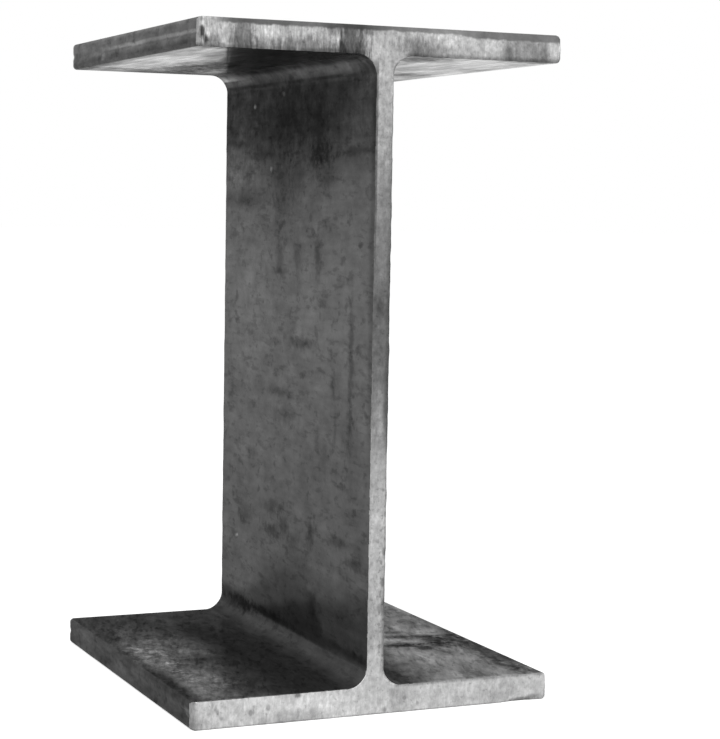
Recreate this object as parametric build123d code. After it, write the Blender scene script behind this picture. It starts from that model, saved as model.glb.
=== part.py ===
from build123d import *
import math
import os

# Short sawn length of hot-rolled steel beam, standing on one of its flanges.
# The frame has its origin at the middle of the lower flange's outer face. X runs across the
# flanges, Y along the rolled length and Z up through the web. Sizes are in millimetres.

# Rolled section: two parallel flanges joined by a web
section_depth = 256.0
flange_width = 145.4
flange_thickness = 10.6
web_thickness = 6.9

# Fillet from web to flange, and the rounding that the rolls leave on the flange toes
root_radius = 7.6
toe_radius = 1.6

# Sawn length, and the small break of the arris all round each sawn end
cut_length = 160.0
arris_break = 0.3

# Ground bevel along the front top arris, which runs out at the left toe
bevel_drop = 3.0
bevel_reach = 1.2

# Worn front corners of the two left toes
corner_width = 1.5
corner_reach = 2.4

# Scooped nick in the front bottom arris near the right toe, the bite of a ball below the base
nick_ball_radius = 40.0
nick_ball_drop = 14.7
nick_reach = 1.2
nick_inset = 11.7


def corners_between(section, near, far):
    """The section's corners that lie between two distances from its middle line."""
    return section.vertices().filter_by(lambda corner: near < abs(corner.X) < far)


def rolled_section():
    """The beam's cross-section as a face, seen from the front."""
    with BuildSketch(Plane.XZ) as section:
        with Locations((0, flange_thickness / 2), (0, section_depth - flange_thickness / 2)):
            Rectangle(flange_width, flange_thickness)
        with Locations((0, section_depth / 2)):
            Rectangle(web_thickness, section_depth - flange_thickness)
        fillet(corners_between(section, 0, web_thickness), root_radius)
        fillet(corners_between(section, flange_width / 2 - toe_radius, flange_width), toe_radius)
    return section.sketch


def sawn_length(section):
    """The section run out to its length, with the arris broken round both sawn ends."""
    bar = extrude(section, amount=cut_length / 2, both=True)
    ends = bar.faces().sort_by(Axis.Y)
    return chamfer(ends[0].edges() + ends[-1].edges(), arris_break)


def ground_off(bar, first, second, third):
    """The bar without what lies outside the plane through three points.

    Seen from outside the bar, the points run anticlockwise.
    """
    outward = (second - first).cross(third - first)
    face = Plane(origin=first, x_dir=second - first, z_dir=outward)
    return split(bar, bisect_by=face, keep=Keep.BOTTOM)


def bevelled_top_arris(bar):
    """The bar with its front top arris ground to a slope that deepens to the right."""
    front = -cut_length / 2
    left = Vector(-flange_width / 2, front, section_depth)
    right_low = Vector(flange_width / 2, front, section_depth - bevel_drop)
    right_back = Vector(flange_width / 2, front + bevel_reach, section_depth)
    return ground_off(bar, left, right_low, right_back)


def worn_corners(bar):
    """The bar with the upright front corners of its left toes worn away."""
    front = -cut_length / 2
    left = -flange_width / 2
    back_high = Vector(left, front + corner_reach, section_depth)
    back_low = Vector(left, front + corner_reach, 0)
    front_low = Vector(left + corner_width, front, 0)
    return ground_off(bar, back_high, back_low, front_low)


def nicked_bottom_arris(bar):
    """The bar with a shallow scoop out of its front bottom arris."""
    centre_y = nick_reach - cut_length / 2 - math.sqrt(nick_ball_radius**2 - nick_ball_drop**2)
    centre = (flange_width / 2 - nick_inset, centre_y, -nick_ball_drop)
    return bar - Sphere(nick_ball_radius).moved(Location(centre))


def h_beam():
    """The whole beam, one solid."""
    bar = sawn_length(rolled_section())
    bar = bevelled_top_arris(bar)
    bar = worn_corners(bar)
    return nicked_bottom_arris(bar)


os.makedirs("parts", exist_ok=True)
export_step(h_beam(), "parts/h_beam.step")
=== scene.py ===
"""Looks of a short sawn length of hot-rolled steel beam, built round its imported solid.

The beam is one piece. Its mesh is the section run out along the rolled length by a Geometry
Nodes tree, which also breaks the sawn arrises and adds the wear. Lengths are in metres, but in
millimetres in the materials.
"""
import math

import bpy
import numpy as np
from mathutils import Matrix, Vector
from mathutils.geometry import delaunay_2d_cdt


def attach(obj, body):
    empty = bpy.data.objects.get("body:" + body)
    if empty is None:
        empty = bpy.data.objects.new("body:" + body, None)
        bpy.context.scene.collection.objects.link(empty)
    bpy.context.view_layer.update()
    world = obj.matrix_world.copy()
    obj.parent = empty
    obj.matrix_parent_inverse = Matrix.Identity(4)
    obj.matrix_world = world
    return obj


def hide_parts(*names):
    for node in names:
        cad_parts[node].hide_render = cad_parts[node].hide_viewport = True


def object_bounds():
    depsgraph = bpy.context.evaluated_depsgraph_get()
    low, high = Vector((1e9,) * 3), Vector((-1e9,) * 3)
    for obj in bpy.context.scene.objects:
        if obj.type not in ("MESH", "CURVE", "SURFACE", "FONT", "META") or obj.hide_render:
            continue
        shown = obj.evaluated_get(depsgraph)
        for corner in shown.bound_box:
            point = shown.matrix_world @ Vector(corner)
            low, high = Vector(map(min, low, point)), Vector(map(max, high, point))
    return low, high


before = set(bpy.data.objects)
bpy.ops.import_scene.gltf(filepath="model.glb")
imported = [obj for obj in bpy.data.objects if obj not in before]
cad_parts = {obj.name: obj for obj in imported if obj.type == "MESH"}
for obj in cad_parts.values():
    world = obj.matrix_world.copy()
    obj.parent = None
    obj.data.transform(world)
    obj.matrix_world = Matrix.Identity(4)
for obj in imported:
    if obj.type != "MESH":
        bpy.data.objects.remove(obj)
cad_low, cad_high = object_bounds()

MM = 0.001

# Section and length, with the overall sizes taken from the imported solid
width = cad_high.x - cad_low.x
length = cad_high.y - cad_low.y
depth = cad_high.z - cad_low.z
flange_thickness = 10.6 * MM
web_thickness = 6.9 * MM
root_radius = 7.6 * MM
toe_radius = 1.6 * MM

# Mesh spacing on the rolled faces, on the toes and across the sawn faces
rolled_step = 1.6 * MM
toe_step = 0.74 * MM
sawn_step = 0.68 * MM

# Rings of points along the length, which lie closer together towards the ends, and steps round
# each root fillet and each toe's rounding
stations = 88
root_steps = 10
toe_steps = 5

# Relief: ridge along the toes, dents of the rolled faces and waves of the saw
toe_ridge = 0.3 * MM
rolled_dents = 0.15 * MM
sawn_waves = 0.12 * MM

# Wear of the sawn ends: arris all round, ground bevel, worn corners and scooped nick
arris_radius = 0.5 * MM
bevel_drop = 3.0 * MM
bevel_reach = 1.2 * MM
corner_width = 1.5 * MM
corner_reach = 2.4 * MM
nick_ball_radius = 40.0 * MM
nick_ball_drop = 14.7 * MM
nick_reach = 1.2 * MM
nick_inset = 11.7 * MM


class Socket:
    """A node's output. Python's operators on it add Math nodes, or Vector Math for vectors."""

    def __init__(self, nodes, socket):
        self.nodes = nodes
        self.socket = socket

    def _result(self, operation, first, second):
        if is_vector(first) or is_vector(second):
            return self.nodes.vector(operation, first, second)
        return self.nodes.math(operation, first, second)

    def __add__(self, other):
        return self._result("ADD", self, other)

    def __radd__(self, other):
        return self._result("ADD", other, self)

    def __sub__(self, other):
        return self._result("SUBTRACT", self, other)

    def __rsub__(self, other):
        return self._result("SUBTRACT", other, self)

    def __mul__(self, other):
        if is_vector(self) and not is_vector(other):
            return self.nodes.scaled(self, other)
        if is_vector(other) and not is_vector(self):
            return self.nodes.scaled(other, self)
        return self._result("MULTIPLY", self, other)

    def __rmul__(self, other):
        return self * other

    def __truediv__(self, other):
        return self.nodes.math("DIVIDE", self, other)

    def __rtruediv__(self, other):
        return self.nodes.math("DIVIDE", other, self)

    def __abs__(self):
        return self.nodes.math("ABSOLUTE", self)


def is_vector(value):
    """Whether a socket or a plain value is a vector, and not a number."""
    if isinstance(value, Socket):
        return value.socket.type == "VECTOR"
    return isinstance(value, (tuple, Vector))


def set_stops(color_ramp, stops):
    """Gives a new colour ramp its stops, each a position and a brightness."""
    elements = color_ramp.elements
    for i, (position, level) in enumerate(stops):
        element = elements[i] if i < 2 else elements.new(position)
        element.position = position
        element.color = (level, level, level, 1)


class Nodes:
    """Adds nodes to one tree, each by its type, its settings and its sockets' values or links.

    It is called g where it makes the shape, and m where it makes a material or the world.
    """

    def __init__(self, tree):
        self.tree = tree

    def add(self, kind, settings=None, inputs=None, output=0):
        """A new node's output, or the node itself where output is None."""
        node = self.tree.nodes.new(kind)
        for name, value in (settings or {}).items():
            if name == "stops":
                set_stops(node.color_ramp, value)
            else:
                setattr(node, name, value)
        for name, value in (inputs or {}).items():
            socket = node.inputs[name]
            # Some nodes have several sockets of one name, of which one is enabled
            if not socket.enabled:
                socket = next(s for s in node.inputs if s.name == name and s.enabled)
            if isinstance(value, Socket):
                self.tree.links.new(value.socket, socket)
            else:
                socket.default_value = value
        if output is None:
            return node
        found = node.outputs[output]
        if not found.enabled:
            found = next(s for s in node.outputs if s.name == found.name and s.enabled)
        return Socket(self, found)

    def math(self, operation, *values):
        return self.add("ShaderNodeMath", {"operation": operation}, dict(enumerate(values)))

    def vector(self, operation, *values, output=0):
        settings = {"operation": operation}
        return self.add("ShaderNodeVectorMath", settings, dict(enumerate(values)), output)

    def scaled(self, vector, factor):
        values = {0: vector, "Scale": factor}
        return self.add("ShaderNodeVectorMath", {"operation": "SCALE"}, values)

    def dot(self, first, second):
        return self.vector("DOT_PRODUCT", first, second, output="Value")

    def low(self, first, second):
        return self.math("MINIMUM", first, second)

    def high(self, first, second):
        return self.math("MAXIMUM", first, second)

    def parts(self, vector):
        """The X, Y and Z of a vector."""
        split = self.add("ShaderNodeSeparateXYZ", None, {0: vector}, None)
        return [Socket(self, s) for s in split.outputs]

    def join(self, x, y, z):
        return self.add("ShaderNodeCombineXYZ", None, {0: x, 1: y, 2: z})

    def noise(self, vector, size, detail=2.0, roughness=0.5):
        """Cloudy noise about 0.5, with patches of about this size."""
        values = {"Vector": vector, "Scale": 1 / size, "Detail": detail, "Roughness": roughness}
        return self.add("ShaderNodeTexNoise", {"noise_dimensions": "3D"}, values)

    def rise(self, value, low, high, first=0.0, last=1.0):
        """A smooth rise from 0 at low to 1 at high, or from one given number to another."""
        limits = {"From Min": low, "From Max": high, "To Min": first, "To Max": last}
        settings = {"interpolation_type": "SMOOTHSTEP"}
        return self.add("ShaderNodeMapRange", settings, {"Value": value, **limits})

    def fall(self, value, low, high):
        """A smooth fall from 1 at low to 0 at high."""
        return self.rise(value, low, high, 1.0, 0.0)

    def between(self, value, low, high, soft):
        """1 from low to high, fading to 0 over a distance on each side."""
        return self.rise(value, low - soft, low) * self.fall(value, high, high + soft)

    def blend(self, first, second, share):
        """Two numbers mixed by a share of the second."""
        return first + (second - first) * share


# The section as a flat sheet, seen from the front

def section_corners():
    """The section's corners, anticlockwise, as x + iz with the radius of each."""
    toe = width / 2
    web = web_thickness / 2
    under = flange_thickness
    over = depth - flange_thickness
    return [
        (complex(-toe, 0), toe_radius),
        (complex(toe, 0), toe_radius),
        (complex(toe, under), toe_radius),
        (complex(web, under), root_radius),
        (complex(web, over), root_radius),
        (complex(toe, over), toe_radius),
        (complex(toe, depth), toe_radius),
        (complex(-toe, depth), toe_radius),
        (complex(-toe, over), toe_radius),
        (complex(-web, over), root_radius),
        (complex(-web, under), root_radius),
        (complex(-toe, under), toe_radius),
    ]


def section_outline():
    """Points along the section's outline, and the outward direction at each."""
    corners = section_corners()
    points = []
    outward = []
    for i, (corner, radius) in enumerate(corners):
        before = corners[i - 1][0]
        after, after_radius = corners[(i + 1) % len(corners)]
        arriving = (corner - before) / abs(corner - before)
        leaving = (after - corner) / abs(after - corner)
        steps = root_steps if radius == root_radius else toe_steps
        centre = corner - arriving * radius + leaving * radius
        for step in range(steps):
            turn = math.pi / 2 * step / steps
            back = leaving * radius * math.cos(turn)
            aside = arriving * radius * math.sin(turn)
            points.append(centre - back + aside)
            outward.append(-1j * (arriving * math.cos(turn) + leaving * math.sin(turn)))
        run = abs(after - corner) - radius - after_radius
        spacing = toe_step if run < flange_thickness else rolled_step
        steps = max(1, round(run / spacing))
        for step in range(steps):
            points.append(corner + leaving * (radius + run * step / steps))
            outward.append(-1j * leaving)
    return np.array(points), np.array(outward)


def points_inside(points, outward):
    """An uneven close grid of points inside the outline, clear of its arrises."""
    unevenness = 0.16
    clear = 2.2 * arris_radius
    rng = np.random.default_rng(7)

    # Rows lie closer than columns, which makes the triangles nearly equal-sided
    rows = np.arange(0, depth, sawn_step * 0.866)
    columns = np.arange(-width / 2, width / 2, sawn_step)
    x, z = np.meshgrid(columns, rows)
    x[1::2] += sawn_step / 2
    x += rng.uniform(-unevenness, unevenness, x.shape) * sawn_step
    z += rng.uniform(-unevenness, unevenness, z.shape) * sawn_step
    spots = (x + 1j * z).ravel()
    near_steel = abs(spots.real) < web_thickness / 2 + root_radius
    near_steel |= abs(spots.imag - depth / 2) > depth / 2 - flange_thickness
    spots = spots[near_steel]
    away = spots[:, None] - points[None, :]
    nearest = abs(away).argmin(1)
    offset = away[np.arange(len(spots)), nearest]
    inward = -(offset * outward[nearest].conj()).real
    return spots[inward > clear]


def section_sheet():
    """The filled section as a mesh, with its outward directions kept on the outline's points."""
    points, outward = section_outline()
    inside = points_inside(points, outward)
    spots = [Vector((p.real, p.imag)) for p in [*points, *inside]]
    outline = list(range(len(points)))
    only_inside = 1
    nearness = 1e-7
    flat = delaunay_2d_cdt(spots, [], [outline], only_inside, nearness)
    mesh = bpy.data.meshes.new("section_sheet")
    mesh.from_pydata([(p.x, 0, p.y) for p in flat[0]], [], flat[2])
    directions = mesh.attributes.new("outward", "FLOAT_VECTOR", "POINT")
    for item, direction in zip(directions.data, outward):
        item.vector = (direction.real, 0, direction.imag)
    return mesh, len(points)


# The bar, run out from the sheet and worn

BAR_INPUTS = {
    "Section": "NodeSocketGeometry",
    "Outline Points": "NodeSocketInt",
    "Stations": "NodeSocketInt",
    "Length": "NodeSocketFloat",
    "Arris Radius": "NodeSocketFloat",
    "Bevel Point": "NodeSocketVector",
    "Bevel Normal": "NodeSocketVector",
    "Worn Point": "NodeSocketVector",
    "Worn Normal": "NodeSocketVector",
    "Nick Centre": "NodeSocketVector",
    "Nick Radius": "NodeSocketFloat",
    "Toe Ridge": "NodeSocketFloat",
    "Rolled Dents": "NodeSocketFloat",
    "Sawn Waves": "NodeSocketFloat",
    "Mill Scale": "NodeSocketMaterial",
    "Sawn Steel": "NodeSocketMaterial",
}


def bar_tree():
    """The Geometry Nodes tree that makes a worn bar from its section."""
    tree = bpy.data.node_groups.new("rolled_bar", "GeometryNodeTree")
    for name, kind in BAR_INPUTS.items():
        tree.interface.new_socket(name, in_out="INPUT", socket_type=kind)
    tree.interface.new_socket("Bar", in_out="OUTPUT", socket_type="NodeSocketGeometry")
    g = Nodes(tree)
    group = g.add("NodeGroupInput", output=None)
    given = {name: Socket(g, group.outputs[name]) for name in BAR_INPUTS}
    vectors = {"data_type": "FLOAT_VECTOR"}
    position = g.add("GeometryNodeInputPosition")
    outward = g.add("GeometryNodeInputNamedAttribute", vectors, {"Name": "outward"})
    half = given["Length"] / 2

    def arris(place, end):
        """How far the arris is broken at a point of the outline, differently at each end."""
        dents = g.noise(place + end * Vector((0, 0.2, 0)), 5 * MM, 3.0)
        return given["Arris Radius"] * g.high(0.35, dents * 2.6 - 0.35)

    def moved(geometry, offset):
        """The geometry with its points moved by an offset."""
        return g.add("GeometryNodeSetPosition", None, {"Geometry": geometry, "Offset": offset})

    # The skin is a grid whose X counts along the outline and whose Y runs from end to end
    count = given["Outline Points"]
    grid = g.add("GeometryNodeMeshGrid", None, {
        "Size X": count, "Size Y": 2.0, "Vertices X": count + 1, "Vertices Y": given["Stations"],
    })
    along, run, _ = g.parts(position)
    index = g.math("MODULO", g.math("ROUND", along + count / 2), count)
    sheet = {"Geometry": given["Section"], "Index": index}
    place = g.add("GeometryNodeSampleIndex", vectors, {**sheet, "Value": position})
    facing = g.add("GeometryNodeSampleIndex", vectors, {**sheet, "Value": outward})
    y = g.math("SINE", run * (-math.pi / 2)) * half
    radius = arris(place, g.math("SIGN", y))
    short = g.high(0, radius - (half - abs(y)))
    inset = radius - g.math("SQRT", g.high(0, radius * radius - short * short))
    skin_place = place - facing * inset + g.join(0, y, 0)
    skin = g.add("GeometryNodeSetPosition", None, {"Geometry": grid, "Position": skin_place})
    skin = stored(g, skin, "outward", facing)

    # Both sawn ends are the sheet, drawn in by the broken arris
    ends = []
    for end in (-1, 1):
        inward = outward * (arris(position, end) * -1) + g.join(0, half * end, 0)
        cap = stored(g, moved(given["Section"], inward), "outward", Vector((0, end, 0)))
        ends.append(cap if end < 0 else g.add("GeometryNodeFlipFaces", None, {"Mesh": cap}))

    joined = g.add("GeometryNodeJoinGeometry", output=None)
    for piece in (skin, *ends):
        tree.links.new(piece.socket, joined.inputs[0])
    bar = Socket(g, joined.outputs[0])
    bar = g.add("GeometryNodeMergeByDistance", None, {"Geometry": bar, "Distance": 0.01 * MM})

    # Shallow dents of the rolled faces, and waves of the saw
    _, _, z = g.parts(position)
    across, lengthwise, _ = g.parts(outward)
    sawn = abs(lengthwise)
    dents = g.rise(g.noise(position, 16 * MM, 3.0), 0.42, 0.8) * given["Rolled Dents"] * (1 - sawn)
    waves = g.noise(position * Vector((1, 1, 0.12)), 3.2 * MM, 2.0) * given["Sawn Waves"] * sawn
    bar = moved(bar, outward * ((dents + waves) * -1))

    # The rolls leave a low ridge along the middle of each toe, so what is beside it sinks
    off_middle = g.math("PINGPONG", z, depth / 2) - flange_thickness / 2
    wander = (g.noise(position * Vector((1, 0.2, 1)), 9 * MM) - 0.5) * (2 * MM)
    beside = g.rise(abs(off_middle + wander), 0.25 * MM, 1.5 * MM)
    on_toe = g.rise(abs(across), 0.9, 0.99)
    bar = moved(bar, g.join(across * beside * on_toe * given["Toe Ridge"] * -1, 0, 0))

    # Ground bevel, worn corners and nick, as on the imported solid
    rough = (g.noise(position, 4 * MM, 3.0) - 0.5) * (1.1 * MM)
    above = g.dot(position - given["Bevel Point"], given["Bevel Normal"])
    bar = moved(bar, given["Bevel Normal"] * (g.high(0, above + rough * 0.5) * -1))
    outside = g.dot(position - given["Worn Point"], given["Worn Normal"])
    bar = moved(bar, given["Worn Normal"] * (g.high(0, outside + rough * 0.3) * -1))
    from_ball = position - given["Nick Centre"]
    reach = g.vector("LENGTH", from_ball, output="Value")
    bar = moved(bar, from_ball * g.high(0, (given["Nick Radius"] + rough * 0.3) / reach - 1))

    # Materials, on sawn faces and on rolled ones
    _, facing_end, _ = g.parts(g.add("GeometryNodeInputNormal"))
    bar = g.add("GeometryNodeSetShadeSmooth", None, {"Geometry": bar})
    bar = g.add("GeometryNodeRealizeInstances", None, {"Geometry": bar})
    bar = g.add("GeometryNodeSetMaterial", None, {"Geometry": bar, "Material": given["Mill Scale"]})
    on_end = g.math("GREATER_THAN", abs(facing_end), 0.35)
    bar = g.add("GeometryNodeSetMaterial", None, {
        "Geometry": bar, "Selection": on_end, "Material": given["Sawn Steel"],
    })
    g.add("NodeGroupOutput", None, {0: bar}, None)
    return tree


def stored(g, geometry, name, value):
    """The geometry with a vector kept on its points."""
    settings = {"data_type": "FLOAT_VECTOR", "domain": "POINT"}
    values = {"Geometry": geometry, "Name": name, "Value": value}
    return g.add("GeometryNodeStoreNamedAttribute", settings, values)


def plane_normal(first, second, third):
    """The normal of a plane through three points that run anticlockwise as seen from outside."""
    return (second - first).cross(third - first).normalized()


def worn_bar(rolled_finish, sawn_finish):
    """The beam's mesh object."""
    sheet, outline_points = section_sheet()
    front = -length / 2
    toe = -width / 2
    bevel_left = Vector((toe, front, depth))
    bevel_low = Vector((-toe, front, depth - bevel_drop))
    bevel_back = Vector((-toe, front + bevel_reach, depth))
    worn_back = Vector((toe, front + corner_reach, 0))
    worn_front = Vector((toe + corner_width, front, 0))
    worn_up = Vector((toe, front + corner_reach, 1))
    ball_back = math.sqrt(nick_ball_radius**2 - nick_ball_drop**2)
    ball = Vector((-toe - nick_inset, front + nick_reach - ball_back, -nick_ball_drop))
    values = {
        "Outline Points": outline_points,
        "Stations": stations,
        "Length": length,
        "Arris Radius": arris_radius,
        "Bevel Point": bevel_left,
        "Bevel Normal": plane_normal(bevel_left, bevel_low, bevel_back),
        "Worn Point": worn_back,
        "Worn Normal": plane_normal(worn_back, worn_front, worn_up),
        "Nick Centre": ball,
        "Nick Radius": nick_ball_radius,
        "Toe Ridge": toe_ridge,
        "Rolled Dents": rolled_dents,
        "Sawn Waves": sawn_waves,
        "Mill Scale": rolled_finish,
        "Sawn Steel": sawn_finish,
    }
    maker = bpy.data.objects.new("maker", sheet)
    bpy.context.scene.collection.objects.link(maker)
    modifier = maker.modifiers.new("rolled_bar", "NODES")
    modifier.node_group = bar_tree()
    for item in modifier.node_group.interface.items_tree:
        if item.in_out == "INPUT" and item.name in values:
            modifier[item.identifier] = values[item.name]
    evaluated = maker.evaluated_get(bpy.context.evaluated_depsgraph_get())
    mesh = bpy.data.meshes.new_from_object(evaluated)
    maker.modifiers.remove(modifier)
    bpy.data.objects.remove(maker)
    mesh.name = "beam"
    beam = bpy.data.objects.new("beam", mesh)
    bpy.context.scene.collection.objects.link(beam)
    return beam


# Materials, whose places and sizes are in millimetres on the piece

# How far a mark reaches into the piece from its face
mark_depth = 3.0


def emptied(owner):
    """The nodes of a material or a world, cleared of what Blender puts there."""
    owner.use_nodes = True
    owner.node_tree.nodes.clear()
    return Nodes(owner.node_tree)


def new_material(name):
    """A new material, its nodes, and the place on the piece in millimetres."""
    material = bpy.data.materials.new(name)
    m = emptied(material)
    return material, m, m.add("ShaderNodeTexCoord", output="Object") * (1 / MM)


def finish_material(m, values):
    """Ends a material in one Principled shader."""
    shader = m.add("ShaderNodeBsdfPrincipled", None, values)
    m.add("ShaderNodeOutputMaterial", None, {"Surface": shader}, None)


def bumped(m, relief, height):
    """The way the surface faces, bumped by a relief of up to this height in metres."""
    return m.add("ShaderNodeBump", None, {"Strength": 0.6, "Distance": height, "Height": relief})


def grey(m, value):
    """A neutral colour of this brightness."""
    return m.join(value, value, value)


def ramp(m, value, stops):
    """A brightness that follows a value through stops, each a value and its brightness.

    The Math node after the colour ramp turns its grey into a number.
    """
    low, high = stops[0][0], stops[-1][0]
    shares = [((place - low) / (high - low), level) for place, level in stops]
    share = (value - low) / (high - low)
    return m.add("ShaderNodeValToRGB", {"stops": shares}, {0: share}) * 1.0


def warped(m, place, size, amount):
    """The place, pushed about by noise, so that what is painted there has an uneven rim."""
    values = {"Vector": place, "Scale": 1 / size, "Detail": 3.0}
    cloud = m.add("ShaderNodeTexNoise", {"noise_dimensions": "3D"}, values, "Color")
    return place + m.vector("SUBTRACT", cloud, (0.5, 0.5, 0.5)) * (2 * amount)


def marked(m, place, marks, fixed_axis, fixed, fray, rim):
    """How much marks lighten or darken a flat face, which lies where one axis is fixed.

    Each mark is its middle, its reach and its strength, below 0 to darken and above 0 to lighten.
    Rim is how soft their rims are, and fray makes them ragged.
    """
    share = 1.0
    for middle, reach, strength in marks:
        middle = (*middle[:fixed_axis], fixed, *middle[fixed_axis:])
        reach = (*reach[:fixed_axis], mark_depth, *reach[fixed_axis:])
        away = (place - middle) * tuple(1 / r for r in reach)
        there = m.fall(m.vector("LENGTH", away, output="Value") + fray, 1 - rim, 1 + rim)
        share = (1 + there * strength) * share
    return share


# Marks on the left side of the web: middle and reach, each as y and z, and strength
WEB_MARKS = (
    ((62, 216), (16, 1.4), -0.35),
    ((33, 210.5), (11, 2.6), -0.35),
    ((-27, 210), (11, 3.5), -0.42),
    ((-64, 210.5), (16, 1.6), -0.38),
    ((6, 226), (14, 13), -0.38),
    ((-26, 221), (9, 14), -0.38),
    ((-68, 226), (12, 10), 0.22),
    ((66, 218), (18, 18), 0.50),
    ((56, 192), (26, 3.2), -0.36),
    ((12, 197), (9, 15), -0.34),
    ((-3, 203), (7, 10), -0.26),
    ((-31, 204), (9, 10), -0.30),
    ((15, 169), (4, 8), -0.32),
    ((-5, 171), (4, 7), -0.30),
    ((-26.5, 170.5), (2.8, 7), -0.44),
    ((15, 163), (7, 1.4), -0.35),
    ((-60.5, 134), (2.0, 19), -0.42),
    ((-60, 106), (2.0, 9), -0.28),
    ((-9, 135), (12, 2.2), -0.40),
    ((20, 134), (8, 1.8), -0.25),
    ((-43.5, 121), (1.9, 4), -0.36),
    ((-46, 105), (1.6, 8), -0.25),
    ((12, 113), (14, 1.5), -0.32),
    ((8, 104), (12, 3), -0.25),
    ((45, 85), (6, 2), -0.22),
    ((-28, 98), (3, 4), -0.28),
    ((-36, 89), (5, 6), -0.26),
    ((-64, 90), (9, 14), -0.18),
    ((20, 54.5), (10, 2.2), -0.52),
    ((20, 64.5), (9, 3), -0.30),
    ((6, 59), (5, 3), -0.36),
    ((-4, 53), (5, 3), -0.34),
    ((-22, 59), (3.4, 6), -0.42),
    ((-50, 61), (8, 2), -0.30),
    ((-66, 55), (7, 2.6), -0.40),
    ((52, 56), (6, 3), -0.24),
    ((-26, 33), (4, 5), -0.30),
    ((58, 165), (26, 40), 0.16),
    ((-22, 38), (2, 1.4), 0.40),
    ((66, 193), (2, 1.2), 0.30),
    ((44.9, 230.9), (1.5, 0.8), 4.0),
    ((13.1, 234.6), (1.8, 0.8), 2.2),
    ((25.4, 204.7), (1.4, 0.7), 1.4),
    ((61.7, 46.7), (1.6, 0.7), 1.6),
    # The last two are painted shade along the foot of the web towards the back
    ((54, 17.6), (17, 2.6), -0.65),
    ((24, 18.4), (34, 1.6), -0.50),
)

# Marks on the right side of the web, as y and z
RIGHT_WEB_MARKS = (
    ((-44, 214), (30, 2.0), -0.38),
    ((34, 208), (24, 1.8), -0.34),
    ((-12, 220), (16, 16), -0.36),
    ((48, 226), (13, 12), -0.30),
    ((-60, 188), (12, 4), -0.34),
    ((22, 178), (3.4, 13), -0.42),
    ((8, 172), (2.6, 9), -0.34),
    ((-36, 150), (2.2, 24), -0.38),
    ((52, 128), (14, 3), -0.32),
    ((-8, 112), (18, 2.2), -0.34),
    ((38, 88), (6, 5), -0.30),
    ((-52, 74), (10, 4), -0.36),
    ((6, 58), (13, 3), -0.40),
    ((60, 46), (9, 4), -0.30),
    ((-20, 150), (22, 34), 0.14),
    ((44, 60), (30, 20), 0.12),
)

# Marks on the upper face of the lower flange, as x and y
LOWER_FLANGE_MARKS = (
    ((-60, -60), (7, 24), 0.95),
    ((-64, -8), (6, 20), 0.95),
    ((-65, -36), (4, 34), 0.40),
    ((-53, -38), (8, 16), 0.85),
    ((-50, 8), (11, 20), 0.75),
    ((-62, 26), (8, 20), 0.40),
    # The next two darken the front of the toe's rounded arris: painted shade with dark chips
    ((-71.5, -52), (3.0, 28), -0.50),
    ((-69, -40), (3, 8), -0.25),
    ((-70, 30), (2.4, 16), -0.20),
    ((-47.5, -15), (5.5, 4), -0.45),
    ((-55, -22), (6, 3), -0.20),
    ((-30, 30), (7, 22), -0.40),
    ((-46, 1), (5, 4), 0.30),
    ((-62, -30), (4.5, 7), -0.42),
    ((-63, -15), (4, 6), 0.16),
    ((-40, -70), (9, 5), -0.25),
    ((47, 6.5), (5, 2.6), -0.50),
    ((46, -2), (5, 3), -0.60),
    ((54, -4), (5.5, 3.4), -0.66),
    ((57, -12), (6, 7), -0.68),
    ((64, -14), (6, 9), -0.45),
    ((38.5, -17), (7.5, 3.4), -0.80),
    ((43, -18.5), (3.6, 3), -0.66),
    ((46, -25), (3.2, 4.6), -0.68),
    ((56, -21.5), (6.4, 5), -0.74),
    ((51, -35), (3.4, 6), -0.40),
    ((42, 5), (4, 3), 0.80),
    ((38.5, -6.5), (4.5, 3), 0.85),
    ((46, -12), (3, 2.6), 0.75),
    ((60, 3), (7, 6), 0.55),
    ((54, 13), (10, 6), 0.35),
    ((36, -38), (8, 14), 0.40),
    ((59, -40), (3, 8), 0.28),
    ((66, -40), (4.6, 44), -0.52),
    ((69, -44), (4.6, 34), -0.46),
    ((62.5, -64), (3, 16), -0.40),
    ((71, -20), (2.4, 26), -0.40),
    ((12, -68), (6, 14), -0.32),
    ((48, -66), (6, 15), -0.22),
    ((61, 46), (6, 10), -0.30),
)

# Smudges under the upper flange, as x and y
UNDERSIDE_MARKS = (
    ((-35, 44), (9, 24), -0.72),
    ((-42, 14), (8, 18), -0.42),
    ((-30, 22), (7, 14), -0.62),
    ((-36, 3), (5, 6), -0.55),
    ((-29, 50), (7, 15), -0.50),
    ((-22, 44), (6, 20), -0.40),
    ((-48, 42), (6, 10), -0.32),
    ((-58, 58), (13, 5), -0.42),
    ((-71, 46), (4, 22), -0.40),
    ((-50, 70), (6, 16), -0.25),
    ((-68, -76), (8, 5), -0.50),
    ((-68, -36), (3, 9), -0.25),
    ((-51, -36), (4, 7), -0.25),
    ((18, -69), (9, 15), -0.70),
    ((31, -60), (5, 10), -0.28),
    ((52, 19), (8, 9), -0.48),
    ((61, 28), (8, 11), -0.35),
    ((63, -77.5), (9, 4), -0.60),
    ((62, -26), (5, 6), -0.25),
)

# Marks on the left toes, as y and z
TOE_MARKS = (
    ((35, 248.2), (2.4, 1.2), 1.1),
    ((-75, 6.4), (2.4, 1.5), 1.5),
    ((-32, 9.4), (10, 2.2), -0.42),
    ((-54, 9.0), (11, 1.8), -0.32),
    ((-40, 5.8), (6, 1.3), -0.30),
    ((-14, 6.5), (3, 1.2), -0.25),
    ((30, 8), (12, 1.6), -0.25),
    ((-62, 247.8), (12, 0.9), -0.25),
    ((-26, 247.8), (12, 0.9), -0.22),
    ((20, 247.8), (10, 0.9), -0.18),
    ((72, 250.5), (5, 1.6), -0.28),
)


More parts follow.
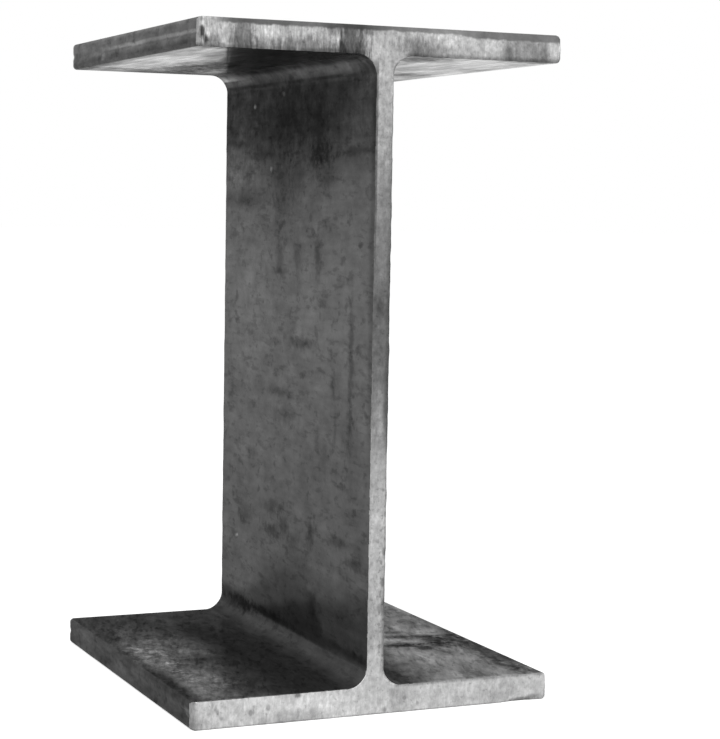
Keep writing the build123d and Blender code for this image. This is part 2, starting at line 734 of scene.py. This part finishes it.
def web_foot_shade(m, left, y, z):
    """How much painted shade darkens the foot of the web: a soft shade that ends steeply near the
    front.

    On the right side the shade lies the other way round and is fainter.
    """
    y = m.blend(24 - y * 0.8, y, left)
    stretch = m.blend(1.0, 0.2, m.rise(y, 0, 62))
    height = (z - 18) / stretch
    shade = ramp(m, height, (
        (0, 0.56), (4, 0.46), (12, 0.50), (17, 0.50), (22, 0.66), (27, 0.82), (34, 1.0),
    ))
    edge = 36 + (y + 27) * 1.25
    beyond = m.rise(z - edge, -7, 4) * m.fall(y, -26, -18)
    line = m.fall(abs(z - 19.8), 0.3, 3.2) * m.fall(y, -38, -28)
    lifted = (1 - m.between(z, 32, 42, 5) * 0.18) * (1 - line * 0.40)
    return m.blend(1.0, m.blend(shade, lifted, beyond), m.blend(0.55, 1.0, left))


def web_scale(m, place, uneven, fray):
    """Tone and sheen beside the web: even grey, dark and dirty towards the flanges, with painted
    shade at its foot and a painted highlight along the upper root fillet.
    """
    true_x, true_y, true_z = m.parts(place)
    _, y, z = m.parts(uneven)
    left = m.fall(true_x, -1, 1)

    # Tone by height, in bands that are uneven except near the flanges
    z = m.blend(true_z, z, m.between(true_z, 24, 232, 6))
    # The darkening down into the crease at the lower flange is painted shade
    tone = ramp(m, z, (
        (10.6, 0.030), (10.9, 0.036), (11.6, 0.052), (12.8, 0.072), (14.4, 0.084), (16.2, 0.056),
        (17.8, 0.054), (50, 0.056), (60, 0.058), (80, 0.080), (110, 0.088), (150, 0.116),
        (185, 0.098), (206, 0.084),
    ))
    # Darker below the upper root fillet, then a painted highlight along the fillet
    upper_tone = ramp(m, z, (
        (206, 1.0), (214, 0.88), (226, 0.76), (237, 0.85), (239.8, 1.45), (241.6, 2.15),
        (243.2, 2.25), (244.4, 1.0), (245.1, 0.72), (245.4, 0.45),
    ))
    upper_root = m.rise(true_z, 238, 241)
    near_end = m.fall(true_y, -74, -60) * m.fall(true_z, 241, 244)
    tone = tone * upper_tone * (1 - upper_root * m.between(true_y, 10, 40, 10) * 0.35)
    tone = tone * (1 - upper_root * near_end * 0.4)
    # The painted highlight on the upper fillet widens towards the back on the left
    tone = tone * (1 + m.rise(true_y, 50, 72) * m.between(true_z, 242.8, 245.0, 0.6) * left * 2.2)

    # Streaks along the length, and dirt that hangs down from the upper flange
    drawn = m.noise(place * (1, 0.08, 1), 2.2, 2.0) - 0.5
    hanging = m.noise(place * (1, 1, 0.22), 6.0, 2.0) - 0.5
    smudges = m.noise(place * (1, 0.6, 1) + (0, 0, 40), 5.0, 3.0, 0.6) - 0.5
    near_top = m.rise(z, 198, 220)
    tone = tone * (1 + drawn * 0.35) * (1 + hanging * near_top * 0.9)
    tone = tone * (1 + smudges * near_top * 1.2)
    # Painted shade at the foot of the web, just above the lower root fillet
    foot = m.blend(1.0, web_foot_shade(m, left, y, z), m.rise(true_z, 15.6, 17.8))
    seam = m.fall(abs(z - 239.4), 0.2, 1.1) * m.rise(m.noise(place * (1, 0.3, 1), 12), 0.35, 0.55)
    tone = tone * (1 - seam * 0.45)

    # Marks on both sides, and a darker strip up the front of the left one
    near_front = m.rise(true_y * -1 + fray * 0.5, 74.0, 78.5) * m.rise(true_z, 85, 125) * left
    share = marked(m, uneven, WEB_MARKS, 0, -web_thickness / MM / 2, fray, 0.75) * foot
    share = share * (1 - near_front * 0.32)
    share = share * marked(m, uneven, RIGHT_WEB_MARKS, 0, web_thickness / MM / 2, fray, 0.75)
    sheen = m.fall(z, 190, 222) * m.rise(true_z, 14.5, 18) * 0.31 + 0.01
    return tone * share, sheen * share * (1 + drawn * 0.3)


def lower_flange_scale(m, place, uneven, fray):
    """Tone and sheen on the lower flange: dusty scale on the left, sounder scale on the right, and
    painted shade beside the web on the left.
    """
    x, y, _ = m.parts(uneven)
    # Darker towards the web; on the left that dip is painted shade and a painted dark reflection of
    # the web
    tone = ramp(m, x, (
        (-72, 0.062), (-58, 0.066), (-46, 0.060), (-38, 0.044), (-28, 0.028), (-14, 0.034),
        (-10, 0.036), (10, 0.050), (16, 0.068), (26, 0.115), (40, 0.172), (72, 0.165),
    ))
    tone = tone * (1 + m.rise(y, 30, 62) * m.blend(-0.25, 0.25, m.rise(x, -44, -34)))
    share = marked(m, uneven, LOWER_FLANGE_MARKS, 2, flange_thickness / MM, fray, 0.75)

    # Dust, smears and chips drawn out at a slant, quieter beside the web on the left
    true_x, true_y, true_z = m.parts(place)
    drift = m.join(true_x - true_y * 0.33, true_y * 0.25, true_z)
    dust = m.noise(drift, 1.8, 2.0) - 0.5
    smears = m.noise(drift, 4.5, 3.0, 0.6) - 0.5
    chips = m.fall(m.noise(drift + (0, 0, 50), 2.6, 2.0), 0.34, 0.43)
    lively = 1 - m.between(true_x, -36, -8, 10) * 0.6
    grainy = lively * m.blend(1.0, 0.55, m.rise(true_x, 0, 12))
    patchy = m.low(1.4, (1 + dust * 1.15 * grainy) * (1 + smears * 1.8 * lively))
    share = share * patchy * (1 - chips * 0.3)
    return tone * share, m.blend(0.05, 0.28, m.rise(x, 12, 34)) * share


def over_top_wear(m, place):
    """What dusty patches and scratches add to the tone of the top face."""
    dusty = m.rise(m.noise(place * (1, 0.6, 1) + (0, 0, 60), 26, 4.0, 0.6), 0.48, 0.66)
    slanted = m.join(m.dot(place, (0.8, 0.6, 0.0)) * 0.04, m.dot(place, (-0.6, 0.8, 0.0)), 30.0)
    scratches = m.fall(abs(m.noise(slanted, 6.0, 2.0) - 0.5), 0.0, 0.010)
    worn = m.rise(m.noise(place + (0, 0, 80), 18, 3.0), 0.46, 0.60)
    return dusty * 0.075 + scratches * worn * 0.10


def underside_sheen(m, place, uneven, fray):
    """Sheen under the upper flange: smooth scale, smudged and streaked."""
    x, y, _ = m.parts(uneven)
    streaks = m.noise(place * (1, 0.08, 1), 2.4, 4.0, 0.6) - 0.5
    smudges = m.noise(place * (1, 0.25, 1), 9, 5.0, 0.62) - 0.5
    grime = m.rise(y, 46, 74) * m.blend(0.35, 0.74, m.rise(x, -58, -44))
    grime = grime + m.fall(x, -71, -64) * m.rise(y, -20, 10) * 0.35

    # Greasy beside the web on the left, with a dull band along the outer edge of the grease,
    # painted where the web's reflection ends as the camera sees it, which softens that reflection's
    # edge
    greasy = m.fall(x * -1 + m.high(y, -45) * 0.4 - 38, -1, 6) * m.fall(x, -12, 0)
    true_x, true_y, _ = m.parts(place)
    past_reflection_edge = true_y * 0.36 - true_x - 32.4
    spread = m.blend(1.6, 4.6, m.rise(true_y, -44, -20))
    dimmed_reflection_edge = m.fall(past_reflection_edge / spread + smudges * 0.8, 0.1, 1.1) * m.rise(past_reflection_edge, -0.2, 0.5)
    dimmed_reflection_edge = dimmed_reflection_edge * m.fall(true_y, -4, 14)
    share = marked(m, uneven, UNDERSIDE_MARKS, 2, (depth - flange_thickness) / MM, fray, 0.85)
    share = share * (1 + streaks * 1.2) * (1 + smudges * 1.6)
    return share * (1 - grime) * (1 - greasy * 0.4) * (1 - dimmed_reflection_edge * 0.66)


def toe_tone(m, place, uneven, fray):
    """Tone of the toes, with a pale line along the ridge of the upper one that fades towards the
    back.
    """
    _, y, z = m.parts(place)
    wander = (m.noise(place * (0, 1, 0), 18, 3.0) - 0.5) * 1.2
    tone = ramp(m, z + wander, (
        (12, 0.058), (246, 0.110), (247.3, 0.080), (248.5, 0.106), (249.5, 0.132), (252.6, 0.140),
        (253.6, 0.124), (254.6, 0.158), (256, 0.170),
    ))
    ridge = m.fall(abs(z + wander - 251.1), 0.15, 1.1) * m.fall(y, 12, 40)
    tone = tone * (1 - m.fall(y, -78, -50) * 0.2) + ridge * 0.14
    share = marked(m, uneven, TOE_MARKS, 0, -width / MM / 2, fray, 0.7)
    smears = m.noise(place * (1, 0.3, 1), 3.0, 3.0, 0.6) - 0.5
    patches = m.noise(place * (1, 0.4, 1) + (0, 0, 20), 7.0, 3.0, 0.6) - 0.5
    patchiness = m.blend(2.2, 1.2, m.rise(z, 30, 200))
    return tone * share * (1 + smears * 1.2) * (1 + patches * patchiness)


def mill_scale():
    """Dark scale that hot rolling leaves on the flanges, the web and the toes, with painted shade
    about the web's foot and a painted highlight on the upper root fillet.
    """
    material, m, place = new_material("mill_scale")
    x, y, z = m.parts(place)
    uneven = warped(m, place, 9, 2.2)
    fray = (m.noise(place, 3.0, 5.0, 0.68) - 0.5) * 3.0
    low_face = flange_thickness / MM
    upper_face = (depth - flange_thickness) / MM
    toe = width / MM / 2
    root = (web_thickness / 2 + root_radius) / MM
    end = length / MM / 2

    # Where it is: beside the web, over the lower flange, under the upper flange or on a toe
    between_flanges = m.between(z, low_face - 0.4, upper_face + 0.4, 0.4)
    beside_web = m.fall(abs(x), root - 3, root + 1) * between_flanges
    over_lower = m.between(z, low_face - 0.6, low_face + 0.4, 1.2) * (1 - beside_web)
    under_upper = m.between(z, upper_face - 0.4, upper_face + 0.8, 1.0) * (1 - beside_web)
    on_toe = m.rise(abs(x), toe - 0.7, toe - 0.3)

    web_tone, web_sheen = web_scale(m, place, uneven, fray)
    lower_tone, lower_sheen = lower_flange_scale(m, place, uneven, fray)
    plain_tone = 0.070 - under_upper * 0.061
    tone = m.blend(m.blend(plain_tone, web_tone, beside_web), lower_tone, over_lower)
    tone = tone + over_top_wear(m, place) * m.rise(z, depth / MM - 0.6, depth / MM - 0.2)
    tone = m.blend(tone, toe_tone(m, place, uneven, fray), on_toe)
    sheen = m.blend(m.blend(0.26, web_sheen, beside_web), lower_sheen, over_lower)
    sheen = m.blend(sheen, underside_sheen(m, place, uneven, fray), under_upper)
    sheen = m.blend(sheen, 0.14, on_toe)

    # Mottling, dashes along the length, flecks and grain, and arrises rubbed pale at the ends
    mottle = m.noise(place, 30, 5.0, 0.55) - 0.5
    clouds = m.noise(place * (1, 0.55, 1) + (0, 90, 0), 6.5, 5.0, 0.62) - 0.5
    dashes = m.fall(m.noise(place * (1, 0.3, 1), 2.8, 3.0, 0.6), 0.33, 0.46)
    flecks = m.fall(m.noise(place * (1, 0.6, 0.8) + (40, 0, 0), 4.6, 4.0, 0.6), 0.32, 0.43)
    grain = m.noise(place * (1, 0.6, 1), 1.0, 2.0) - 0.5
    marks = (1 + clouds * 1.05) * (1 - dashes * 0.24) * (1 - flecks * 0.30)
    rubbed = m.rise(abs(y) + fray * 0.5, end - 2.2, end - 0.4)
    rubbed = rubbed * (0.8 - beside_web * 0.75 + on_toe * m.blend(1.1, 3.0, m.rise(z, 30, 200)))
    tone = tone * (1 + mottle * 0.6) * marks * (1 + grain * 0.15) * (1 + rubbed)
    sheen = sheen * (1 + mottle * 0.4) * m.blend(marks, 1.0, under_upper * 0.5)

    relief = m.noise(place, 2.4, 5.0, 0.6) * 0.6 + grain * 0.25 - dashes * 0.15
    relief = relief * (1 - under_upper * 0.85)
    finish_material(m, {
        "Base Color": grey(m, m.high(0.008, tone)),
        "Roughness": 0.62 + mottle * 0.5 + grain * 0.2,
        "Specular IOR Level": 0.0,
        "Coat Weight": m.high(0, sheen),
        "Coat Roughness": 0.2,
        "Normal": bumped(m, relief, 0.06 * MM),
    })
    return material


# Stains and pale places on the front sawn face, as x and z
SAWN_MARKS = (
    ((-56, 250), (3.8, 9), -0.50),
    ((-55.5, 247), (4.4, 3), -0.35),
    ((-13.6, 250), (5.6, 10), -0.72),
    ((-10.2, 247), (2.6, 3), -0.50),
    ((-18.4, 247), (2.6, 3), -0.55),
    ((-20.5, 253.6), (3, 2), -0.50),
    ((-7.6, 253.8), (3, 1.5), -0.45),
    ((-32, 247.2), (13, 2.8), -0.55),
    ((-66.5, 247.4), (2.8, 2.2), -0.38),
    ((-49, 247), (4, 2.4), -0.30),
    ((14, 247.6), (9, 4), -0.38),
    ((10.5, 248.6), (5, 4.6), -0.24),
    ((21, 246.8), (7, 2.6), -0.18),
    ((57, 249), (9.5, 8), -0.38),
    ((50.5, 247.8), (2.8, 3.2), -0.32),
    ((64.5, 247), (4, 4), -0.28),
    ((62.6, 248), (3, 6), -0.10),
    ((69.8, 250.4), (2.2, 3.4), 0.30),
    ((27, 252), (9, 2.4), 0.20),
    ((44, 251), (4, 2.4), 0.22),
    ((-46, 251.5), (4, 3), 0.40),
    ((-71.2, 250.6), (1.0, 2.2), -0.85),
    ((-70.0, 248.0), (1.1, 1.6), -0.80),
    ((-71.4, 253.4), (1.0, 1.0), 0.40),
    ((-70.2, 251.6), (0.6, 1.4), 0.45),
    ((-69.2, 249.6), (0.6, 1.5), 0.45),
    ((-26, 6.5), (9, 3), 0.16),
    ((-15, 6), (5, 6), 0.12),
    ((-46, 8), (7, 3), 0.14),
    ((-34, 1.8), (11, 2.6), -0.26),
    ((9.5, 5), (3.4, 5), -0.18),
    ((48, 2.5), (6, 3), -0.16),
    ((56, 6), (4, 5), -0.12),
    ((-70.5, 1.8), (3, 2.4), -0.25),
    ((-62.8, 6.0), (0.5, 1.1), -0.35),
    ((-63.8, 7.4), (0.5, 1.1), -0.35),
    ((-64.8, 8.8), (0.5, 1.1), -0.35),
    ((-49.8, 4.9), (0.9, 1.1), -0.45),
    ((-61.4, 3.7), (0.7, 0.7), -0.35),
    ((-31.2, 9.9), (1.1, 0.9), -0.60),
    ((-42.9, 6.2), (0.9, 1.3), -0.35),
    ((3.6, 1.6), (1.0, 1.0), -0.40),
    ((12, 5.4), (0.7, 0.8), -0.35),
    ((17.4, 3.1), (0.7, 0.7), -0.35),
    ((2.4, 50), (1.1, 1.2), -0.50),
    ((2.6, 62), (0.9, 1.3), -0.45),
    ((1.8, 40), (1.4, 2.2), -0.30),
    ((-1, 153), (1.4, 3), -0.25),
    ((2.3, 114), (1.5, 14), -0.34),
    ((-0.4, 115), (1.5, 12), 0.25),
    ((62.5, 0.6), (4.5, 0.9), -0.55),
    ((66.6, 1.5), (2.6, 0.9), -0.36),
)


def sawn_steel():
    """Pale bare steel of the cut ends, stained on the upper flange and halfway up the web, with
    painted shade along the bottom arris.
    """
    material, m, place = new_material("sawn_steel")
    x, y, z = m.parts(place)
    top = depth / MM
    low_face = flange_thickness / MM
    upper_face = top - low_face
    web = web_thickness / MM / 2
    front = m.fall(y, -10, 10)
    beside = m.rise(abs(x), web + 3, web + 6)
    on_web = 1 - beside
    upward = m.rise(z, 30, 200)

    # At the front the tone goes by height on the web, and is nearly even on the flanges
    heights = z + (m.noise(place, 9, 3.0) - 0.5) * 12
    web_tone = ramp(m, heights, (
        (0, 0.45), (20, 0.44), (30, 0.33), (44, 0.36), (60, 0.41), (75, 0.40), (92, 0.32),
        (110, 0.215), (128, 0.14), (152, 0.112), (168, 0.155), (196, 0.215), (212, 0.31),
        (236, 0.37), (256, 0.41),
    ))
    flange_tone = m.blend(m.blend(0.48, 0.45, m.rise(x, -10, 8)), 0.40, upward)

    # The back end has plain stains
    stains = m.fall(m.noise(place * (1, 1, 0.7) + (0, 50, 0), 15, 4.0, 0.6), 0.40, 0.54)
    stains = stains * (1 - on_web * 0.6)
    web_stain = m.between(heights, 60, 120, 40) * on_web
    back_tone = 0.44 * (1 - stains * 0.42) * (1 - web_stain * 0.35)
    tone = m.blend(back_tone, m.blend(web_tone, flange_tone, beside), front)

    # The blade leaves its lines upright, and stains follow them
    raggedness = m.blend(2.6, 1.2, m.rise(x, 28, 40))
    fray = (m.noise(place * (1, 1, 0.16), 1.5, 4.0, 0.68) - 0.5) * raggedness
    tone = tone * marked(m, place, SAWN_MARKS, 1, -length / MM / 2, fray, 0.55)
    worn_corner = m.fall(x + fray * 0.4, -72.3, -70.0) * front
    tone = tone * (1 - worn_corner * m.blend(0.45, 0.26, upward))
    upper = m.rise(z, 240, 244) * front
    strokes = m.noise(place * (1, 1, 0.22), 0.8, 3.0, 0.6) - 0.5
    bands = m.noise(place * (1, 1, 0.12), 3.2, 4.0, 0.6) - 0.5
    grains = m.noise(place * (1, 1, 0.75), 1.3, 3.0, 0.6) - 0.5
    blotch = m.noise(place * (1, 1, 0.8), 3.0, 4.0, 0.6) - 0.5
    clouds = m.noise(place + (0, 0, 30), 9.0, 3.0) - 0.5
    specks = m.fall(m.noise(place, 1.6, 2.0), 0.29, 0.40)
    peppered = m.blend(0.4, 1.0, m.rise(x, -2, 2.5)) * m.between(z, 24, 84, 8) * on_web
    pepper = m.fall(m.noise(place * (1, 1, 0.8) + (0, 0, 70), 1.9, 3.0), 0.36, 0.46) * peppered
    stained = m.blend(1.0, 0.75, m.between(z, 104, 190, 20))
    busy = m.blend(m.blend(0.75, 1.05, m.between(z, 110, 236, 20) * on_web), 1.0, upper)
    streaked = upper * m.fall(x, 18, 34)
    tone = tone * (1 + strokes * m.blend(0.3, m.blend(0.4, 1.3, streaked), beside) * stained)
    tone = tone * (1 + bands * m.blend(0.3, 0.9, streaked)) * (1 + grains * 1.3 * stained * busy)
    tone = tone * (1 + blotch * 0.8 * busy)
    tone = tone * (1 + clouds * 0.4) * (1 - specks * 0.25) * (1 - pepper * 0.42)

    # Dirt along the arrises, painted shade with some dirt along the bottom one, and dirt down the
    # right side of the web's edge
    ragged = (m.noise(place, 3.6, 4.0, 0.6) - 0.5) * 2.4
    # Painted shade with some dirt along the bottom arris
    dirt_and_shade = m.fall(z + ragged * 0.35, 0.2, 0.9) * 0.4
    high_arris = m.fall(z + ragged * 0.8, upper_face + 0.4, upper_face + 2.0) * upper * beside
    dirt_and_shade = dirt_and_shade + high_arris * 0.5
    low_arris = m.rise(z + ragged * 0.5, low_face - 1.3, low_face - 0.2)
    low_arris = low_arris * m.fall(z, 20, 30) * beside
    dirt_and_shade = dirt_and_shade + low_arris * m.rise(x, 0, 8) * 0.4
    left_arris = m.fall(x + ragged * 0.3, 0.1 - web, 0.7 - web) * on_web * m.between(z, 22, 240, 6)
    left_arris = left_arris * m.blend(0.05, 0.6, m.rise(z, 150, 200))
    right_side = m.rise(x + ragged * 0.3, 1.1, 2.2)
    right_band = right_side * m.between(z + ragged * 6, 106, 214, 8) * on_web
    right_low = right_side * m.between(z, 20, 44, 8) * on_web
    dirt_and_shade = dirt_and_shade + left_arris + right_band * 0.24 + right_low * 0.3
    tone = tone * (1 - m.low(0.8, dirt_and_shade * front))

    # Dark scale left along the ground bevel
    bevel_line = top - 1.8 - m.rise(x, 26, 38) * 1.1
    bevel = m.rise(z + ragged * 0.8, bevel_line - 0.5, bevel_line + 0.5)
    bevel = bevel * front * m.rise(x, -69, -60)
    bevel_tone = ramp(m, x + ragged * 2, (
        (-70, 0.14), (-56, 0.08), (-44, 0.09), (-30, 0.13), (-22, 0.07), (-16, 0.04), (-9, 0.035),
        (0, 0.12), (14, 0.17), (25, 0.22), (32, 0.20), (40, 0.135), (62, 0.125), (72, 0.15),
    ))
    tone = m.blend(tone, bevel_tone * (1 + blotch), bevel * 0.94)

    relief = strokes * 0.4 + grains * 0.5 + blotch * 0.4 - specks * 0.4
    finish_material(m, {
        "Base Color": grey(m, m.high(0.02, tone)),
        "Metallic": 0.85 - bevel * 0.6,
        "Roughness": 0.46 + blotch * 0.25 + bevel * 0.15,
        "Specular IOR Level": 0.3,
        "Normal": bumped(m, relief, 0.05 * MM),
    })
    return material


# Floor, light and camera

def seen_ray(m):
    """1 for rays that show the background: from the camera, off metal or through glass."""
    path = m.add("ShaderNodeLightPath", output=None)
    names = ("Is Camera Ray", "Is Glossy Ray", "Is Transmission Ray")
    rays = [Socket(m, path.outputs[name]) for name in names]
    return m.high(rays[0], m.high(rays[1], rays[2]))


def pale_floor():
    """A plain floor that shows white and keeps the beam's soft shadow."""
    half = 12.0
    corners = [(-half, -half, 0), (half, -half, 0), (half, half, 0), (-half, half, 0)]
    mesh = bpy.data.meshes.new("floor")
    mesh.from_pydata(corners, [], [(0, 1, 2, 3)])
    floor = bpy.data.objects.new("floor", mesh)
    bpy.context.scene.collection.objects.link(floor)
    material = bpy.data.materials.new("floor")
    m = emptied(material)
    matt = m.add("ShaderNodeBsdfDiffuse", None, {"Color": (0.7, 0.7, 0.7, 1)})
    white_glow = {"Color": (1, 1, 1, 1), "Strength": seen_ray(m) * 0.66}
    glow = m.add("ShaderNodeEmission", None, white_glow)
    both = m.add("ShaderNodeAddShader", None, {0: matt, 1: glow})
    m.add("ShaderNodeOutputMaterial", None, {"Surface": both}, None)
    mesh.materials.append(material)


def white_world(strength):
    """Even light from all round, which shows white behind the beam."""
    world = bpy.data.worlds.new("studio")
    bpy.context.scene.world = world
    m = emptied(world)
    level = m.blend(strength, 1.0, seen_ray(m))
    sky = m.add("ShaderNodeBackground", None, {"Color": (1, 1, 1, 1), "Strength": level})
    m.add("ShaderNodeOutputWorld", None, {"Surface": sky}, None)


def soft_lamp(name, place, aim, size, power):
    """A square soft box at a place, turned to a point."""
    lamp = bpy.data.lights.new(name, "AREA")
    lamp.size = size
    lamp.energy = power
    box = bpy.data.objects.new(name, lamp)
    box.location = place
    box.rotation_euler = (Vector(aim) - Vector(place)).to_track_quat("-Z", "Y").to_euler()
    bpy.context.scene.collection.objects.link(box)


def photo_camera():
    """The camera, at the viewing angle of the photograph."""
    place = Vector((-313.4, -770.9, 191.4)) * MM
    azimuth = math.radians(-23.801)
    elevation = math.radians(4.637)
    roll = math.radians(0.96)
    back = Vector((
        math.sin(azimuth) * math.cos(elevation),
        -math.cos(azimuth) * math.cos(elevation),
        math.sin(elevation),
    ))
    level = Vector((math.cos(azimuth), math.sin(azimuth), 0))
    upright = back.cross(level)
    right = level * math.cos(roll) + upright * math.sin(roll)
    up = back.cross(right)
    lens = bpy.data.cameras.new("camera")
    lens.lens = 100.11
    lens.sensor_width = 36.0
    camera = bpy.data.objects.new("camera", lens)
    turn = Matrix((right, up, back)).transposed().to_4x4()
    camera.matrix_world = Matrix.Translation(place) @ turn
    bpy.context.scene.collection.objects.link(camera)
    bpy.context.scene.camera = camera


photo_camera()
pale_floor()
white_world(strength=0.5)
near_middle = (0, 0, 0.12)
soft_lamp("key", place=(-1.2, -1.6, 1.7), aim=near_middle, size=1.4, power=34)
soft_lamp("fill", place=(1.8, -1.0, 0.9), aim=near_middle, size=1.6, power=12)
bpy.context.scene.view_settings.view_transform = "Standard"

beam = worn_bar(mill_scale(), sawn_steel())
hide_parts("h_beam")
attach(beam, "root")
